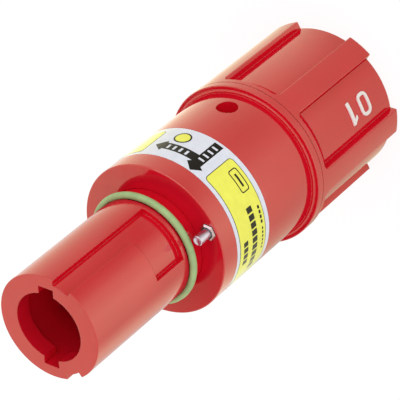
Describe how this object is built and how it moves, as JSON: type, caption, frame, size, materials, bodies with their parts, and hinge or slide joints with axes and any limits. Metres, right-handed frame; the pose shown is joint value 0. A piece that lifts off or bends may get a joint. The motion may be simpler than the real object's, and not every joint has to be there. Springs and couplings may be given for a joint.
{
  "type": "single pole power connector",
  "caption": "Round single pole power connector with a slotted bayonet nose, sprung locking pin, seal ring, wrap label and ribbed gland nut for one heavy cable.",
  "frame": {"origin": "centre of the gland nut's rear face, on the connector's axis, where it stands", "axes": "+Z along the connector's axis towards the open end of the nose, -Y out of the spanner hole, +X completes a right-handed frame"},
  "size_m": [0.06, 0.06, 0.162],
  "materials": {
    "shell_red": "satin moulded",
    "nose_red": "satin moulded",
    "nut_red": "satin moulded",
    "seal_green": "matte",
    "label": "printed film",
    "pin_steel": "polished",
    "spring_steel": "drawn wire",
    "contact_metal": "silver plated",
    "screw_steel": "dark",
    "inner_plastic": "moulded",
    "gland_plastic": "moulded",
    "seal_black": "matte",
    "washer_steel": "stamped"
  },
  "bodies": {
    "housing": {"housing_shell": "shell_red", "nose_insulator": "nose_red", "front_o_ring": "seal_green", "label_band": "label", "lock_pin_bush": "pin_steel", "lock_pin_spring": "spring_steel", "contact_socket": "contact_metal", "contact_band": "contact_metal", "touch_guard": "inner_plastic", "contact_o_ring": "seal_black", "contact_circlip": "spring_steel", "clamp_screws": "screw_steel", "rear_sleeve": "inner_plastic", "inner_o_ring": "seal_black", "lock_ring": "inner_plastic", "nut_o_ring": "seal_black", "gland_seal": "seal_black", "pressure_washer": "washer_steel", "clamping_cage": "gland_plastic"},
    "lock_pin": {"lock_pin": "pin_steel"},
    "slip_ring": {"slip_ring": "gland_plastic"},
    "gland_nut": {"gland_nut": "nut_red"}
  },
  "joints": [
    {"name": "lock_pin_press", "type": "slide", "parent": "housing", "child": "lock_pin", "axis": [0, 0, -1], "range_m": [0, 0.006], "stiffness_N_per_m": 600, "springref_m": -0.003, "deforming": ["lock_pin_spring"]},
    {"name": "gland_travel", "type": "slide", "parent": "housing", "child": "slip_ring", "axis": [0, 0, -1], "range_m": [0, 0.012]},
    {"name": "gland_turn", "type": "hinge", "parent": "slip_ring", "child": "gland_nut", "pos_m": [0, 0, 0.025], "axis": [0, 0, -1], "range_deg": [0, 1440]}
  ],
  "couplings": [
    {"joint": "gland_turn", "follows": "gland_travel", "rad_per_m": 2094.4}
  ]
}
